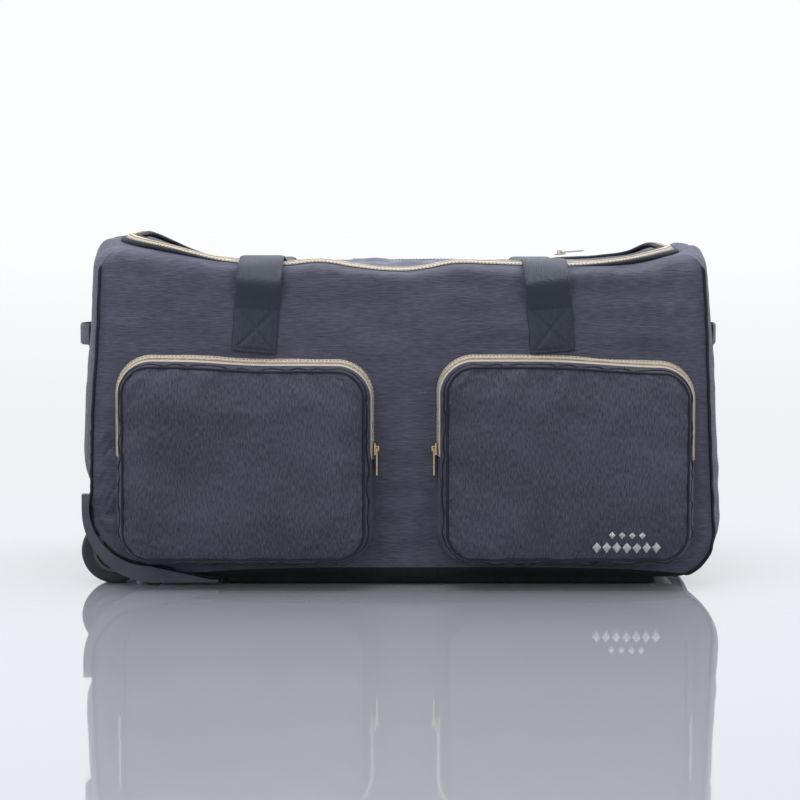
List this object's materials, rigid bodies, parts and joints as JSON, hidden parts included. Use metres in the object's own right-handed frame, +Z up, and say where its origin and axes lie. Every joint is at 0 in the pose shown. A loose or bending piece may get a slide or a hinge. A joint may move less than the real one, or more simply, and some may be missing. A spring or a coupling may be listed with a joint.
{
  "type": "wheeled duffel bag",
  "caption": "Soft-sided wheeled duffel with a zipped lid, zipped front pockets, webbing carry handles, end grab loops and a pull-out trolley handle.",
  "frame": {"origin": "on the ground under the middle of the base, on the underside of the middle skid rail", "axes": "+X along the length towards the trolley grip's end, +Y towards the back, away from the pockets, +Z up"},
  "size_m": [0.7472, 0.3793, 0.397],
  "materials": {
    "body_fabric": "crinkled woven nylon with a soft sheen",
    "pocket_fabric": "slub woven nylon, ribs upright",
    "zip_gold": "gold-coloured woven tape and coil",
    "webbing": "ribbed woven webbing",
    "piping": "fabric-covered cord",
    "gold_metal": "plated, polished",
    "black_plastic": "moulded, fine grain",
    "wheel_rubber": "satin",
    "hub_plastic": "moulded",
    "steel": "bright",
    "tube_metal": "satin anodised",
    "board": "twin-wall sheet"
  },
  "bodies": {
    "bag": {"front_panel": "body_fabric", "back_panel": "body_fabric", "bottom_panel": "body_fabric", "wheel_end_panel": "body_fabric", "grip_end_panel": "body_fabric", "wheel_end_top": "body_fabric", "grip_end_top": "body_fabric", "main_zip_body_side": "zip_gold", "front_piping": "piping", "back_piping": "piping", "base_board": "board", "wheel_end_board": "board", "grip_end_board": "board", "skid_rails": "black_plastic", "rail_rivets": "steel", "front_wheel_housing": "black_plastic", "back_wheel_housing": "black_plastic", "front_wheel_axle": "steel", "back_wheel_axle": "steel", "trolley_foot": "black_plastic", "trolley_outer_tubes": "tube_metal", "trolley_cup": "black_plastic", "front_handle_risers": "webbing", "back_handle_risers": "webbing", "wheel_end_grab_pads": "webbing", "grip_end_grab_pads": "webbing", "wheel_side_pocket_lower": "pocket_fabric", "grip_side_pocket_lower": "pocket_fabric", "wheel_side_pocket_zip_body_side": "zip_gold", "grip_side_pocket_zip_body_side": "zip_gold"},
    "lid": {"lid_panel": "body_fabric", "main_zip_lid_side": "zip_gold"},
    "main_slider": {"main_slider": "gold_metal"},
    "main_pull": {"main_pull": "gold_metal"},
    "front_handle": {"front_handle_loop": "webbing"},
    "back_handle": {"back_handle_loop": "webbing"},
    "wheel_end_grab": {"wheel_end_grab_loop": "webbing"},
    "grip_end_grab": {"grip_end_grab_loop": "webbing"},
    "front_wheel": {"front_wheel_tyre": "wheel_rubber", "front_wheel_hub": "hub_plastic", "front_wheel_bearings": "steel"},
    "back_wheel": {"back_wheel_tyre": "wheel_rubber", "back_wheel_hub": "hub_plastic", "back_wheel_bearings": "steel"},
    "trolley_stage": {"trolley_inner_tubes": "tube_metal", "trolley_grip": "black_plastic", "trolley_button_springs": "steel"},
    "trolley_button": {"trolley_button": "black_plastic"},
    "lock_pins": {"trolley_lock_pins": "steel"},
    "wheel_side_flap": {"wheel_side_pocket_flap": "pocket_fabric", "wheel_side_pocket_zip_flap_side": "zip_gold"},
    "wheel_side_slider": {"wheel_side_pocket_slider": "gold_metal"},
    "wheel_side_pull": {"wheel_side_pocket_pull": "gold_metal"},
    "grip_side_flap": {"grip_side_pocket_flap": "pocket_fabric", "grip_side_pocket_zip_flap_side": "zip_gold"},
    "grip_side_slider": {"grip_side_pocket_slider": "gold_metal"},
    "grip_side_pull": {"grip_side_pocket_pull": "gold_metal"}
  },
  "joints": [
    {"name": "lid_hinge", "type": "hinge", "parent": "bag", "child": "lid", "pos_m": [0, 0.125, 0.384], "axis": [-1, 0, 0], "range_deg": [0, 105]},
    {"name": "main_slider_slide", "type": "slide", "parent": "lid", "child": "main_slider", "axis": [0.9973, 0, 0.0733], "range_m": [0, 0.025]},
    {"name": "main_pull_swing", "type": "hinge", "parent": "main_slider", "child": "main_pull", "pos_m": [0.19819, 0.125, 0.37232], "axis": [0, -1, 0], "range_deg": [0, 140]},
    {"name": "front_handle_swing", "type": "hinge", "parent": "bag", "child": "front_handle", "pos_m": [0, -0.1662, 0.3706], "axis": [1, 0, 0], "range_deg": [0, 225], "deforming": ["front_handle_loop"]},
    {"name": "back_handle_swing", "type": "hinge", "parent": "bag", "child": "back_handle", "pos_m": [0, 0.1662, 0.3706], "axis": [-1, 0, 0], "range_deg": [0, 245], "deforming": ["back_handle_loop"]},
    {"name": "wheel_end_grab_flex", "type": "hinge", "parent": "bag", "child": "wheel_end_grab", "pos_m": [-0.3456, 0, 0.278], "axis": [0, 1, 0], "range_deg": [-28, 28], "deforming": ["wheel_end_grab_loop"]},
    {"name": "grip_end_grab_flex", "type": "hinge", "parent": "bag", "child": "grip_end_grab", "pos_m": [0.3456, 0, 0.278], "axis": [0, 1, 0], "range_deg": [-28, 28], "deforming": ["grip_end_grab_loop"]},
    {"name": "front_wheel_spin", "type": "hinge", "parent": "bag", "child": "front_wheel", "pos_m": [-0.325, -0.134, 0.037], "axis": [0, 1, 0], "continuous": true},
    {"name": "back_wheel_spin", "type": "hinge", "parent": "bag", "child": "back_wheel", "pos_m": [-0.325, 0.134, 0.037], "axis": [0, 1, 0], "continuous": true},
    {"name": "trolley_slide", "type": "slide", "parent": "bag", "child": "trolley_stage", "axis": [1, 0, 0], "range_m": [0, 0.42]},
    {"name": "trolley_button_press", "type": "slide", "parent": "trolley_stage", "child": "trolley_button", "axis": [-1, 0, 0], "range_m": [0, 0.004], "stiffness_N_per_m": 300, "springref_m": -0.002, "deforming": ["trolley_button_springs"]},
    {"name": "lock_pin_retract", "type": "slide", "parent": "trolley_stage", "child": "lock_pins", "axis": [0, 0, -1], "range_m": [0, 0.003]},
    {"name": "wheel_side_flap_fold", "type": "hinge", "parent": "bag", "child": "wheel_side_flap", "pos_m": [-0.174, -0.21, 0.148], "axis": [1, 0, 0], "range_deg": [0, 45]},
    {"name": "wheel_side_slider_slide", "type": "slide", "parent": "bag", "child": "wheel_side_slider", "axis": [0, 0, 1], "range_m": [0, 0.045]},
    {"name": "wheel_side_pull_swing", "type": "hinge", "parent": "wheel_side_slider", "child": "wheel_side_pull", "pos_m": [-0.02596, -0.1723, 0.1566], "axis": [0, -1, 0], "range_deg": [0, 140]},
    {"name": "grip_side_flap_fold", "type": "hinge", "parent": "bag", "child": "grip_side_flap", "pos_m": [0.186, -0.21, 0.148], "axis": [1, 0, 0], "range_deg": [0, 45]},
    {"name": "grip_side_slider_slide", "type": "slide", "parent": "bag", "child": "grip_side_slider", "axis": [0, 0, 1], "range_m": [0, 0.045]},
    {"name": "grip_side_pull_swing", "type": "hinge", "parent": "grip_side_slider", "child": "grip_side_pull", "pos_m": [0.03796, -0.1723, 0.1566], "axis": [0, 1, 0], "range_deg": [0, 140]}
  ],
  "couplings": [
    {"joint": "lock_pin_retract", "follows": "trolley_button_press", "ratio": 0.75}
  ]
}
